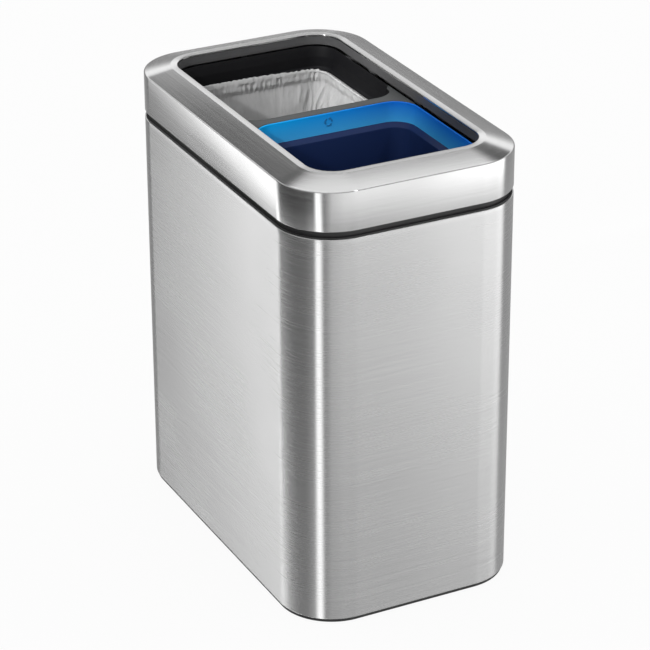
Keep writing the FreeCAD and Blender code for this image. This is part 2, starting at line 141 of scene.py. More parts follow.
def body_loop(inset, z):
    """Outline of the body, with the weld's shallow groove in the middle of its outside."""
    half_x, half_y = HALF_WIDTH - inset, HALF_DEPTH - inset
    loop = round_loop(-half_x, half_x, -half_y, half_y, CORNER - inset, z)
    above_foot, below_hem = shell_low.z + 0.2 * MM, shell_high.z - HEM - 0.02 * MM
    sink = SEAM_SINK if inset < SHEET / 2 and above_foot < z < below_hem else 0
    left, right = [[Vector((side * SEAM_HALF * reach, half_y - deep, z))
                    for reach, deep in ((SEAM_BOTTOM, sink), (1, 0))] for side in (-1, 1)]
    return left + loop[1:] + right[::-1]


def rim_loop(inset, z):
    half_x, half_y = HALF_WIDTH - inset, HALF_DEPTH - inset
    return round_loop(-half_x, half_x, -half_y, half_y, steel_corner(inset), z)


def bucket_loop(low, high, inset, z):
    half_x = high.x - inset
    return round_loop(-half_x, half_x, low.y + inset, high.y - inset, RIM_CORNER - inset, z)


def front_loop(inset, z):
    return bucket_loop(front_low, front_high, inset, z)


def rear_loop(inset, z):
    return bucket_loop(rear_low, rear_high, inset, z)


def soften(profile, closed, steps=4):
    """Rounds the corners of a profile of (inset, height, radius); gives (inset, height) pairs."""
    made = []
    count = len(profile)
    for i, (a, z, radius) in enumerate(profile):
        here = Vector((a, z))
        ends = not closed and i in (0, count - 1)
        if radius <= 0 or ends:
            made.append(here)
            continue
        before = Vector(profile[i - 1][:2]) - here
        after = Vector(profile[(i + 1) % count][:2]) - here
        half = before.angle(after) / 2
        reach = min(radius / math.tan(half), before.length * 0.49, after.length * 0.49)
        r = reach * math.tan(half)
        middle = here + (before.normalized() + after.normalized()).normalized() * (r / math.sin(half))
        start = here + before.normalized() * reach - middle
        stop = here + after.normalized() * reach - middle
        swing = start.angle_signed(stop)
        for k in range(steps + 1):
            turned = start.copy()
            turned.rotate(Matrix.Rotation(-swing * k / steps, 2))
            made.append(middle + turned)
    return made


def link(name, data):
    piece = bpy.data.objects.new(name, data)
    bpy.context.scene.collection.objects.link(piece)
    return piece


def loft(name, loops, closed=False, caps=False):
    """One mesh through equal loops: closed joins the last to the first, caps fill both ends."""
    bm = bmesh.new()
    uv = bm.loops.layers.uv.new("grain")
    rows = [[bm.verts.new(p) for p in loop] for loop in loops]
    count = len(loops[0])
    round_u = [0.0]
    for i in range(count):
        round_u.append(round_u[-1] + (loops[0][(i + 1) % count] - loops[0][i]).length)
    along_v = [0.0]
    spans = len(rows) if closed else len(rows) - 1
    for k in range(spans):
        along_v.append(along_v[-1] + (loops[(k + 1) % len(loops)][1] - loops[k][1]).length)
    for k in range(spans):
        low, high = rows[k], rows[(k + 1) % len(rows)]
        for i in range(count):
            j = (i + 1) % count
            face = bm.faces.new((low[i], low[j], high[j], high[i]))
            places = ((i, k), (i + 1, k), (i + 1, k + 1), (i, k + 1))
            for corner, (u, v) in zip(face.loops, places):
                corner[uv].uv = (round_u[u], along_v[v])
    if caps:
        for row in (rows[0], rows[-1]):
            face = bm.faces.new(row)
            for corner in face.loops:
                corner[uv].uv = corner.vert.co.xy
    bmesh.ops.recalc_face_normals(bm, faces=bm.faces)
    for face in bm.faces:
        face.smooth = True
    for edge in bm.edges:
        if len(edge.link_faces) == 2 and edge.calc_face_angle() > SHARP_FROM:
            edge.smooth = False
    mesh = bpy.data.meshes.new(name)
    bm.to_mesh(mesh)
    bm.free()
    print(name, len(mesh.polygons), "faces")
    return link(name, mesh)


# %% [markdown]
# ## Helpers for finishes
#
# A finish is a small set of nodes, so the helpers below only save typing: add a node with its
# values, join two sockets, stretch a noise along one direction. Numbers that are the same all
# over the piece are written straight on the shader, and only what varies over the surface is
# joined with a wire.

# %% Node helpers
def start_finish(name):
    made = bpy.data.materials.new(name)
    made.use_nodes = True
    made.node_tree.nodes.clear()
    return made


def node(tree, kind, inputs=None, **settings):
    made = tree.nodes.new(kind)
    for key, value in settings.items():
        setattr(made, key, value)
    for key, value in (inputs or {}).items():
        if isinstance(value, bpy.types.NodeSocket):
            tree.links.new(value, made.inputs[key])
        else:
            made.inputs[key].default_value = value
    return made


def maths(tree, operation, a, b=0.0, **more):
    return node(tree, "ShaderNodeMath", {0: a, 1: b}, operation=operation, **more).outputs[0]


def grey(value):
    """A linear grey as the colour that a shader takes."""
    return (value, value, value, 1)


def stretched(tree, space, scale):
    return node(tree, "ShaderNodeMapping", {"Vector": space, "Scale": scale}).outputs[0]


def noise(tree, space, scale, detail=2.0, rough=0.5):
    inputs = {"Vector": space, "Scale": scale, "Detail": detail, "Roughness": rough}
    return node(tree, "ShaderNodeTexNoise", inputs).outputs[0]


def spread(tree, value, low, high, start=0.3, stop=0.7):
    """Noise lies near its middle, so its useful stretch is mapped to the wanted range."""
    inputs = {"Value": value, "From Min": start, "From Max": stop, "To Min": low, "To Max": high}
    return node(tree, "ShaderNodeMapRange", inputs).outputs[0]


def bumped(tree, height, distance, strength=1.0, onto=None):
    wires = {"Height": height, "Distance": distance, "Strength": strength}
    if onto is not None:
        wires["Normal"] = onto
    return node(tree, "ShaderNodeBump", wires).outputs[0]


def tinted(tree, factor, dark, light):
    inputs = {"Factor": factor, "A": dark, "B": light}
    return node(tree, "ShaderNodeMix", inputs, data_type="RGBA").outputs["Result"]


def finished(made, inputs):
    shader = node(made.node_tree, "ShaderNodeBsdfPrincipled", inputs)
    node(made.node_tree, "ShaderNodeOutputMaterial", {"Surface": shader.outputs[0]})


def dress(piece, finish):
    piece.data.materials.clear()
    piece.data.materials.append(finish)
    return piece


# %% [markdown]
# ## Brushed steel
#
# Stainless sheet for bins is ground with an abrasive belt, which leaves fine scratches all
# running one way, level round the body. Two things make it read as brushed: scratches as a noise
# stretched over a hundredfold along the grain, and an anisotropic gloss, which smears reflections
# across the grain. The gloss needs to know the grain's direction, and takes it from the UV's U
# direction, turned a quarter because light spreads across the scratches.

# %% Steel finish
def brushed_steel(name, tone, gloss):
    made = start_finish(name)
    tree = made.node_tree
    uv = node(tree, "ShaderNodeUVMap", uv_map="grain").outputs[0]
    fine = noise(tree, stretched(tree, uv, (26, 3600, 1)), 1.0, 3, 0.6)
    broad = noise(tree, stretched(tree, uv, (5, 420, 1)), 1.0, 2)
    cloud = noise(tree, stretched(tree, uv, (7, 9, 1)), 1.0, 2)
    both = maths(tree, "MULTIPLY", maths(tree, "ADD", fine, broad), 0.5)
    shade = tinted(tree, spread(tree, both, 0, 1, 0.35, 0.65), grey(tone * 0.95), grey(tone * 1.03))
    patches = spread(tree, cloud, gloss - 0.02, gloss + 0.02)
    rough = maths(tree, "ADD", spread(tree, both, -0.03, 0.03), patches)
    tangent = node(tree, "ShaderNodeTangent", direction_type="UV_MAP", uv_map="grain").outputs[0]
    finished(made, {"Base Color": shade, "Metallic": 1.0, "Roughness": rough, "Anisotropic": 1.0,
                    "Anisotropic Rotation": 0.25, "Tangent": tangent,
                    "Normal": bumped(tree, both, 0.02 * MM, 0.2)})
    return made


steel = brushed_steel("steel brushed level", 0.64, 0.26)
rim_steel = brushed_steel("steel brushed along the rim", 0.65, 0.19)

# %% [markdown]
# ## The steel body
#
# The body is one sheet bent round four upright corners and welded where its ends meet at the
# back. A bare cut edge would be sharp, so the top is folded over into a hem, and the foot is
# folded inward as a flange for the base ring to hold. The profile below is that cut, walked once
# round the sheet: foot, up the outside, over the hem, and down the inside.

# %% Body
def steel_body():
    foot, top = shell_low.z, shell_high.z
    hem = top - HEM
    cut = [(FLANGE, foot, 0), (0, foot, FOOT_BEND), (0, hem - SEAM_STOP, 0), (0, hem, 0),
           (0, top, FOLD), (2 * SHEET, top, FOLD), (2 * SHEET, hem, INNER_BEND), (SHEET, hem, 0),
           (SHEET, foot + SHEET, INNER_BEND), (FLANGE, foot + SHEET, 0)]
    loops = [body_loop(a, z) for a, z in soften(cut, True)]
    return loft("steel_body", loops, closed=True)


body = dress(steel_body(), steel)
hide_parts("body_shell")
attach(body, "root")

# %% [markdown]
# ## The steel rim
#
# The rim is a second pressing that stands clear of the body, so a dark line shows between them.
# From its folded foot it rises as an upright band, turns over a tight round, climbs inward on a
# gentle slope and ends in a narrow flat lip, whose edge is turned down into the opening so that
# no hand meets a cut edge.

# %% Rim
def steel_rim():
    foot, top = rim_low.z, rim_high.z
    edge, under, tip = foot + BAND, top - SHEET, top - LIP_DROP
    opening = SLOPE + LIP
    back = opening - SHEET
    cut = [(0, foot, FOLD), (0, edge, BAND_ROUND), (SLOPE, top, LIP_BEND), (opening, top, LIP_ROUND),
           (opening, tip, CUT_ROUND), (back, tip, CUT_ROUND), (back, under, INNER_BEND),
           (SLOPE, under, BACK_BEND), (SHEET, edge - SHEET, BACK_BEND), (SHEET, foot + RIM_HEM, 0),
           (2 * SHEET, foot + RIM_HEM, INNER_BEND), (2 * SHEET, foot, FOLD)]
    loops = [rim_loop(a, z) for a, z in soften(cut, True)]
    return loft("steel_rim_pressing", loops, closed=True)


rim = dress(steel_rim(), rim_steel)
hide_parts("steel_rim")
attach(rim, "rim")

# %% [markdown]
# ## Moulded plastic
#
# Bucket and frame plastics are moulded with a fine spark-eroded texture: a grain of about half a
# millimetre that breaks up the gloss. It is a noise used three times: a little in the colour, a
# little in the roughness and as a shallow bump. A second, larger noise gives the faint cloudiness
# that large mouldings have. Moulded edges are a little round, which the bevel node imitates, and
# where it turns the surface the colour is painted paler in patches, as a painted highlight.

# %% Plastic finish
VARY = 0.12                      # how much lighter and darker the colour gets
CLOUDS = 22                      # clouds in a metre
GRAIN_DEPTH = 0.02 * MM
ROUND_EDGE = 0.4 * MM                # radius of a round edge, also the width of its painted highlight


def moulded(name, colour, gloss, grain=0.5 * MM, depth=GRAIN_DEPTH, shine=0.5):
    made = start_finish(name)
    tree = made.node_tree
    place = node(tree, "ShaderNodeTexCoord").outputs["Object"]
    fine = noise(tree, place, 1 / grain)
    cloud = noise(tree, place, CLOUDS)
    grains, clouds = spread(tree, fine, -0.5, 0.5), spread(tree, cloud, 0.2, 0.8)
    mixed = maths(tree, "ADD", grains, clouds, use_clamp=True)
    dark = tuple(c * (1 - VARY) for c in colour) + (1,)
    light = tuple(min(c * (1 + VARY), 1) for c in colour) + (1,)
    # a paler copy of the colour, painted along turned edges as a highlight
    edge_highlight_colour = tuple(min(c * 1.5 + 0.01, 1) for c in colour) + (1,)
    edge = node(tree, "ShaderNodeBevel", {"Radius": ROUND_EDGE}, samples=4).outputs[0]
    facing = node(tree, "ShaderNodeNewGeometry").outputs["Normal"]
    flat = node(tree, "ShaderNodeVectorMath", {0: edge, 1: facing}, operation="DOT_PRODUCT")
    turned = spread(tree, flat.outputs["Value"], 1, 0, 0.75, 0.98)
    # painted highlight: paler where the bevel turns the surface, broken into patches
    painted_edge_highlight = maths(tree, "MULTIPLY", turned, spread(tree, cloud, 0.1, 0.8))
    finished(made, {"Base Color": tinted(tree, painted_edge_highlight, tinted(tree, mixed, dark, light), edge_highlight_colour),
                    "Roughness": spread(tree, fine, gloss - 0.05, gloss + 0.05),
                    "Specular IOR Level": shine,
                    "Normal": bumped(tree, fine, depth, onto=edge)})
    return made


black_plastic = moulded("black moulded plastic", (0.028, 0.028, 0.029), 0.5)
black_bucket = moulded("black bucket plastic", (0.016, 0.016, 0.018), 0.48)
frame_plastic = moulded("dark grey frame plastic", (0.10, 0.10, 0.102), 0.45, shine=0.4)
# The ring is the bridge's plastic set much darker, partly as painted shade on its walls round the bag.
ring_plastic_with_painted_shade = moulded("near black ring plastic", (0.007, 0.007, 0.008), 0.5, shine=0.1)
bridge_plastic = moulded("dark grey bridge plastic", (0.056, 0.06, 0.061), 0.5, shine=0.4)
rubber = moulded("soft black rubber", (0.02, 0.02, 0.02), 0.75, grain=0.8 * MM)
screw_metal = moulded("zinc plated screws", (0.55, 0.55, 0.56), 0.35, depth=0.005 * MM)
screw_metal.node_tree.nodes["Principled BSDF"].inputs["Metallic"].default_value = 1.0
mark_plastic = moulded("darker blue of the raised arrows", (0.006, 0.16, 0.42), 0.55)

for names, finish in (
        (("base_ring", "base_pan", "collar"), black_plastic),
        (("trash_bucket",), black_bucket),
        (("rim_inner_frame",), frame_plastic),
        (("rim_bumpers", "foot_pad_front_left", "foot_pad_front_right",
          "foot_pad_rear_left", "foot_pad_rear_right"), rubber),
        (("base_screws",), screw_metal),
        (("recycling_mark",), mark_plastic)):
    for name in names:
        dress(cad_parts[name], finish)

# %% [markdown]
# ## The blue bucket
#
# The front bucket hangs by the step under its rim. Its inside shows: an upright band, a narrow
# sloping ledge, and a deep body that narrows to the floor so that buckets stack and release from
# the mould. Its profile starts in the middle of the floor outside, climbs the outside, turns over
# the rim's edge and goes down the inside to the floor.

# %% Blue bucket
BUCKET_BAND = 27 * MM            # rim, top to the outside step
BAND_SEEN = 21 * MM              # inside of the rim, top to the ledge
LEDGE_FALL = 4 * MM
STEP = 5.6 * MM                  # how far the body stands in from the rim
BAND_DRAFT = 0.6 * MM            # taper of the rim's inside
BODY_DRAFT = 6.4 * MM            # taper of the body
FLOOR_ROUND = 10 * MM
MOULD_EDGE = 0.3 * MM            # tight moulded edge
HAND_EDGE = 0.8 * MM             # edge that a hand meets
LEDGE_EDGE = 0.6 * MM            # between the band and the ledge
HIGHLIGHT_ROWS = 2                    # rows of points that carry the painted highlight line above the ledge


def blue_bucket():
    """The bucket, with a tone for each point: 0 blue, 1 the inside painted dark as shade, -1 a painted
    highlight line between.
    """
    top, under = front_high.z, front_low.z
    shoulder, ledge = top - BUCKET_BAND, top - BAND_SEEN
    ledge_low = ledge - LEDGE_FALL
    cut = [(STEP + BODY_DRAFT + FLOOR_ROUND, under, 0), (STEP + BODY_DRAFT, under, FLOOR_ROUND),
           (STEP, shoulder, MOULD_EDGE), (0, shoulder, MOULD_EDGE), (0, top, HAND_EDGE),
           (WALL, top, HAND_EDGE), (WALL + BAND_DRAFT, ledge, LEDGE_EDGE),
           (STEP + WALL, ledge_low, HAND_EDGE),
           (STEP + WALL + BODY_DRAFT, under + WALL, FLOOR_ROUND - WALL),
           (STEP + WALL + BODY_DRAFT + FLOOR_ROUND, under + WALL, 0)]
    walk = soften(cut, False, 6)
    bucket = loft("blue_bucket", [front_loop(a, z) for a, z in walk], caps=True)
    tone = bucket.data.attributes.new("tone", "FLOAT", "POINT")
    count = len(bucket.data.vertices) // len(walk)
    turned = max(k for k, (a, z) in enumerate(walk) if z > ledge + 1 * MM)
    for k in range(turned + 1, len(walk)):
        for i in range(count):
            tone.data[k * count + i].value = -1 if k <= turned + HIGHLIGHT_ROWS else 1
    return bucket


# The blue is painted lighter on the left and darker on the right, as painted light and shade.
BLUE_PAINTED_LIT = (0.001, 0.40, 0.84, 1)
BLUE_PAINTED_SHADED = (0.003, 0.15, 0.66, 1)
BLUE_CLOUD = (0.0, 0.12, 0.50, 1)
# Below the band the inside is painted dark navy as shade, and the row above the ledge is a painted
# highlight.
BLUE_INSIDE_PAINTED_SHADE = (0.011, 0.024, 0.085, 1)
BLUE_PAINTED_HIGHLIGHT = (0.05, 0.36, 0.72, 1)
BLUE_GRAIN = 0.45 * MM


def blue_with_painted_light():
    made = start_finish("blue bucket plastic")
    tree = made.node_tree
    place = node(tree, "ShaderNodeTexCoord").outputs["Object"]
    fine = noise(tree, place, 1 / BLUE_GRAIN)
    cloud = noise(tree, place, CLOUDS)
    across = node(tree, "ShaderNodeSeparateXYZ", {0: place}).outputs["X"]
    # painted light and shade: the blue runs from lit on the left to shaded on the right
    blue = tinted(tree, spread(tree, across, 0, 1, -0.09, 0.07), BLUE_PAINTED_LIT, BLUE_PAINTED_SHADED)
    blue = tinted(tree, spread(tree, cloud, 0.0, 0.12), blue, BLUE_CLOUD)
    tone = node(tree, "ShaderNodeAttribute", attribute_name="tone").outputs["Fac"]
    # painted shade: the inside below the band is coloured dark navy
    inside = tinted(tree, maths(tree, "MAXIMUM", tone, 0), blue, BLUE_INSIDE_PAINTED_SHADE)
    # painted highlight: a lighter blue line along the foot of the band
    lit = maths(tree, "MAXIMUM", maths(tree, "MULTIPLY", tone, -1), 0)
    finished(made, {"Base Color": tinted(tree, lit, inside, BLUE_PAINTED_HIGHLIGHT),
                    "Roughness": spread(tree, fine, 0.36, 0.48), "Specular IOR Level": 0.15,
                    "Normal": bumped(tree, fine, GRAIN_DEPTH)})
    return made


blue = dress(blue_bucket(), blue_with_painted_light())
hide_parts("recycling_bucket")
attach(blue, "recycling_bucket")

# %% [markdown]
# ## The liner ring and its bridge
#
# The ring drops over the bag's edge: a flange rests on the bucket's rim and a skirt inside it
# presses the film down. Its wall is the dark band seen round the bag. In front it is lower by the
# bridge's thickness, because the bridge lies on it: a flat plate between the buckets, with a horn
# at each end that follows the front bucket's corner.

# %% Ring and bridge
BRIDGE = ring_high.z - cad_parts["bucket_bridge"].dimensions.z
RING_BEHIND = rear_low.y + RIM_CORNER    # where the ring's long sides become straight
RING_FLANGE = 10.5 * MM          # top of the ring, down to what rests on the bucket's rim
RING_TOP = 1.2 * MM              # width of its top edge
RING_SKIRT = 2.6 * MM            # from the bucket's rim in to the outside of the skirt
RING_WAIST = 4.1 * MM            # and to its inside, level with the flange
RING_FOOT = 4.7 * MM             # and low down, where the lip starts
RING_LIP = 8.8 * MM              # and to the tip of the lip
LIP_HEIGHT = 3 * MM
LEAN_IN, LEAN_DOWN = 2.9, 10.5   # the ring's wall leans in by the first in a height of the second
PAST_BEND = RING_BEHIND + 0.01 * MM
FIT = 0.6 * MM                   # running gap round the front bucket
EDGE = 0.22 * MM                 # softened edge of the plate, whose horns end in a thin tip
EDGE_TURNS = (0, 0.4, 0.8, 1.2)  # where its round has rows, in radians
CAP_IN = 1.3 * EDGE              # the flat sides start this far in


def ring_loop(inset, z):
    """Outline of the rear bucket, lowered in front to carry the bridge."""
    made, before = [], None
    for p in rear_loop(inset, z) + [None]:
        ahead = p is not None and p.y < PAST_BEND
        was_ahead = before is not None and before.y < PAST_BEND
        if before is not None and p is not None and ahead != was_ahead:
            made.append(Vector(((p if ahead else before).x, RING_BEHIND + 0.05 * MM, z)))
        if p is not None:
            made.append(Vector((p.x, p.y, min(z, BRIDGE) if ahead else z)))
        before = p
    return made


def liner_ring():
    top, under = ring_high.z, ring_low.z
    rest = top - RING_FLANGE
    cut = [(RING_LIP, under, 0.3 * MM), (RING_FOOT, under + LIP_HEIGHT, 1.2 * MM),
           (RING_WAIST, rest, 2 * MM), (RING_TOP, top, 0.5 * MM), (0, top, 0.4 * MM),
           (0, rest, 0.2 * MM), (RING_SKIRT, rest, 0.2 * MM), (RING_SKIRT, under, 0.2 * MM)]
    return loft("liner_ring", [ring_loop(a, z) for a, z in soften(cut, True)], closed=True)


def arc(cx, cy, r, start, stop):
    turns = [math.radians(start + (stop - start) * i / CORNER_STEPS) for i in range(CORNER_STEPS + 1)]
    return [(cx + r * math.cos(t), cy + r * math.sin(t)) for t in turns]


def bridge_loop(drawn, z):
    """The plate's outline, drawn in by an amount; its rear edge leans with the ring's wall."""
    low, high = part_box("bucket_bridge")
    lean = RING_TOP + (high.z - z) * LEAN_IN / LEAN_DOWN
    side, straight = high.x - drawn, high.x - RIM_CORNER
    tip, behind = low.y + drawn, high.y - drawn
    centre = front_high.y - RIM_CORNER
    hug = RIM_CORNER + FIT + drawn
    swing = math.degrees(math.asin((tip - centre) / hug))
    open_r = RIM_CORNER - lean - drawn
    flat = [(-side, behind), (-side, tip)]
    flat += arc(-straight, centre, hug, 180 - swing, 90) + arc(straight, centre, hug, 90, swing)
    flat += [(side, tip), (side, behind)]
    flat += [(straight + open_r, behind)] + arc(straight, RING_BEHIND, open_r, 0, -90)
    flat += arc(-straight, RING_BEHIND, open_r, -90, -180) + [(-straight - open_r, behind)]
    return [Vector((x, y, z)) for x, y in flat]


def bridge_plate():
    low, high = BRIDGE, ring_high.z
    rows = [(CAP_IN, low), (EDGE, low), (0, low + EDGE)]
    rows += [(EDGE * (1 - math.cos(t)), high - EDGE * (1 - math.sin(t))) for t in EDGE_TURNS]
    rows += [(EDGE, high), (CAP_IN, high)]
    return loft("bridge_plate", [bridge_loop(d, z) for d, z in rows], caps=True)


ring = dress(liner_ring(), ring_plastic_with_painted_shade)
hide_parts("trash_liner_ring")
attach(ring, "liner_ring")
plate = dress(bridge_plate(), bridge_plastic)
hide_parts("bucket_bridge")
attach(plate, "liner_ring")

# %% [markdown]
# ## The bag
#
# A bin bag is a tube of thin milky film, welded at one end. Its edge is drawn over the bucket's
# rim and trapped by the ring, and what is spare gathers in pleats. Below, the film hangs against
# the wall in long folds and sags to the floor, where the mesh is left open in the middle, under a
# centimetre wide. It is made as the same kind of loft as the bucket, with many more points, and
# each point is then moved in by a sum of narrow folds, wide folds and pleats that fade with
# depth.

# %% Bag
BAG_ROUND = 720                  # points round the bag, enough for pleats a few millimetres wide
BAG_SEEN = rear_high.z - 12.5 * MM   # where the film comes out from under the ring
BAG_FLOOR = rear_low.z + WALL + 1 * MM
FILM = 0.12 * MM
UNDER_RING = 0.45 * MM           # the film under the ring's lip stands this far below BAG_SEEN
TRACK_IN = 10 * MM               # the way in is taken from a loop this far inside the rim
ROLL = ((9.5, 0.3), (9.8, 0.75), (10.4, 1.0), (11.2, 1.0), (11.8, 0.7), (12.1, 0.1))
FLOOR_SHARES = (0.92, 0.8, 0.62, 0.4, 0.2, 0.06)


def even_track(count):
    """Points spread evenly round the rear bucket's rim, each with the way in from it."""
    outer, inner = rear_loop(0, 0), rear_loop(TRACK_IN, 0)
    outer.append(outer[0])
    inner.append(inner[0])
    lengths = [0.0]
    for a, b in zip(outer, outer[1:]):
        lengths.append(lengths[-1] + (b - a).length)
    track, k = [], 0
    for i in range(count):
        want = lengths[-1] * i / count
        while lengths[k + 1] < want:
            k += 1
        t = (want - lengths[k]) / (lengths[k + 1] - lengths[k])
        place = outer[k].lerp(outer[k + 1], t)
        track.append((place, (inner[k].lerp(inner[k + 1], t) - place) / TRACK_IN))
    return track


def fade(value, start, stop):
    """0 before start, 1 after stop, and smooth between."""
    t = min(max((value - start) / (stop - start), 0), 1)
    return t * t * (3 - 2 * t)


def ridge(place, across, down, seed):
    """Sharp-topped folds: across and down are how wide and how long they are."""
    n = noise_at(Vector((place.x / across, place.y / across, place.z / down + seed)))
    return 1 - min(abs(n) * 2.2, 1)


def film_fold(place, deep):
    """How far the film stands off the wall at a place, deep below the ring."""
    pleats = ridge(place, 5 * MM, 30 * MM, 3) * (1.7 - 1.45 * fade(deep, 4 * MM, 16 * MM))
    right = fade(place.x, 0.02, 0.06)
    creases = ridge(place, 19 * MM, 70 * MM, 11) * (0.7 + 1.6 * right) * fade(deep, 3 * MM, 30 * MM)
    leaning = Vector((place.x, place.y + 0.6 * place.z, 0))
    slant = ridge(leaning, 13 * MM, 1, 5) * 1.8 * right * fade(deep, 2 * MM, 18 * MM)
    swell = 2.4 * (1 + noise_at(place / (46 * MM))) * fade(deep, 0, 40 * MM)
    hem = 2.4 * (1 - fade(deep, 4 * MM, 12 * MM))
    return (pleats + creases + slant + swell + hem) * MM


def roll_height(place):
    """The film swells up in front of the ring's lip, most at the rear on the left."""
    rear = fade(place.y, rear_high.y - 12 * MM, rear_high.y - 3 * MM)
    left = 1 - fade(place.x, -0.02, 0.075)
    return (0.4 + 1.0 * ridge(place, 6 * MM, 1, 8) + rear * (1.6 + 2.6 * left)) * MM


def film_bag():
    track = even_track(BAG_ROUND)
    hem, caught = bag_top - 0.15 * MM, BAG_SEEN - UNDER_RING
    flat = [(0.4, hem), (1.7, hem), (2.1, bag_top - 0.6 * MM), (2.2, BAG_SEEN - 1.0 * MM),
            (2.8, caught), (8.8, caught)]
    loops = [[p + way * inset * MM + up(z) for p, way in track] for inset, z in flat]
    for inset, share in ROLL:
        loop = []
        for p, way in track:
            pleat = 1.3 * MM * ridge(p, 5 * MM, 1, 3.0)
            height = BAG_SEEN + roll_height(p) * share
            loop.append(p + way * (inset * MM + pleat * 0.6) + up(height))
        loops.append(loop)
    deep = 0.0
    tall = BAG_SEEN - BAG_FLOOR
    while deep < tall - 3 * MM:
        deep += (0.9 + 4.2 * fade(deep, 9 * MM, 60 * MM)) * MM
        z = BAG_SEEN - 1.0 * MM - deep
        wall = STEP + WALL + 0.6 * MM + BODY_DRAFT * deep / tall
        loops.append([p + way * (wall + film_fold(p + up(z), deep)) + up(z) for p, way in track])
    middle = Vector((0, (rear_low.y + rear_high.y) / 2, BAG_FLOOR))
    last = loops[-1]
    for share in FLOOR_SHARES:
        around = []
        for p in last:
            q = middle + (p - middle) * share
            q.z = BAG_FLOOR + 5 * MM * abs(noise_at(q / (30 * MM))) + 1 * MM
            around.append(q)
        loops.append(around)
    film = loft("film_bag", loops)
    shell = film.modifiers.new("film thickness", "SOLIDIFY")
    shell.thickness = FILM
    shell.offset = 0
    return film


def bag_film():
    made = start_finish("milky film")
    tree = made.node_tree
    place = node(tree, "ShaderNodeTexCoord").outputs["Object"]
    cloud = noise(tree, place, 45, 3)
    wrinkle = noise(tree, stretched(tree, place, (1, 1, 0.25)), 420, 3)
    shader = node(tree, "ShaderNodeBsdfPrincipled", {
        "Base Color": tinted(tree, cloud, grey(0.62), grey(0.74)),
        "Roughness": spread(tree, wrinkle, 0.25, 0.4),
        "Normal": bumped(tree, wrinkle, 0.25 * MM, 0.6)}).outputs[0]
    through = node(tree, "ShaderNodeBsdfTranslucent", {"Color": grey(0.8)}).outputs[0]
    milk = node(tree, "ShaderNodeMixShader", {0: 0.25, 1: shader, 2: through}).outputs[0]
    clear = node(tree, "ShaderNodeBsdfTransparent", {"Color": grey(0.95)}).outputs[0]
    thin = spread(tree, cloud, 0.22, 0.12)
    film = node(tree, "ShaderNodeMixShader", {0: thin, 1: milk, 2: clear}).outputs[0]
    node(tree, "ShaderNodeOutputMaterial", {"Surface": film})
    return made


bag = dress(film_bag(), bag_film())
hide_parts("trash_bag")
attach(bag, "trash_bag")

# %% [markdown]
# ## The studio
#
# A plain pale floor, and a sky that is a studio. Its low part is bright in front on the right,
# dimmer behind and dark along the left, with a narrow bright strip at each end of the dark. Its
# high part is a bright band, a dark one above it, and bright overhead. The brightnesses were
# found by comparing renders with the photo, so they suit its side of the bin best. Flat steel
# shows one small stretch of that room, and a round corner shows the whole turn of it squeezed
# into a few centimetres. That is what draws the dark band and the white line down the corner of
# every steel bin.

# %% Sky
SKY_LEVEL = 3.2
REFERENCE = math.radians(-25)    # the height at which LOW_ROOM holds
RISE_STEP = math.radians(10)     # LOW_RISE says how much brighter it gets in this height
RISE_SPAN = 8                    # its 0 to 1 stand for -4 to 4 doublings
STEPS_MOST = 1.1                 # past this many steps it changes no more
GROWTH_LEAST, GROWTH_MOST = 0.3, 8
LOW_ENDS, HIGH_STARTS = math.radians(-8), math.radians(2)
# degrees round the bin from straight ahead, positive to the left, and how bright the low room is
LOW_ROOM = [(-180, 0.45), (-150, 0.47), (-91, 0.42), (-84, 0.50), (-77, 1.15), (-68, 1.32),
            (-60, 1.20), (-31, 1.28), (-27.5, 0.84), (0, 0.90), (25, 0.76), (38, 0.30),
            (42, 0.40), (47, 1.80), (54, 2.10), (57, 0.40), (61, 0.10), (80, 0.045),
            (104, 0.04), (120, 0.055), (136, 0.07), (141, 0.20), (144, 0.60), (147, 1.80),
            (150.5, 3.00), (153, 2.30), (154.5, 0.85), (156, 0.24), (158, 0.22), (166, 0.32)]
# the same turn, and how much brighter it gets upward
LOW_RISE = [(-180, 0.50), (-84, 0.475), (-76, 0.635), (-27, 0.625), (20, 0.575), (38, 0.50),
            (56, 0.50), (62, 0.02), (135, 0.02), (145, 0.44), (155, 0.44), (160, 0.50)]
# degrees above the horizon, and how bright the high room is
HIGH_ROOM = [(-90, 0.28), (0, 0.30), (10, 0.22), (16, 0.8), (20, 1.35), (26, 1.2),
             (30, 0.14), (44, 0.14), (50, 0.7), (54, 1.6), (62, 1.2), (90, 1.2)]


def ramp(tree, value, stops, whole, level):
    """A colour ramp from a table of (degrees, brightness) in a range of degrees centred on 0."""
    made = node(tree, "ShaderNodeValToRGB", {"Fac": value})
    while len(made.color_ramp.elements) < len(stops):
        made.color_ramp.elements.new(0.5)
    for element, (degrees, bright) in zip(made.color_ramp.elements, stops):
        element.position = degrees / whole + 0.5
        element.color = grey(bright / level)
    return made.outputs[0]


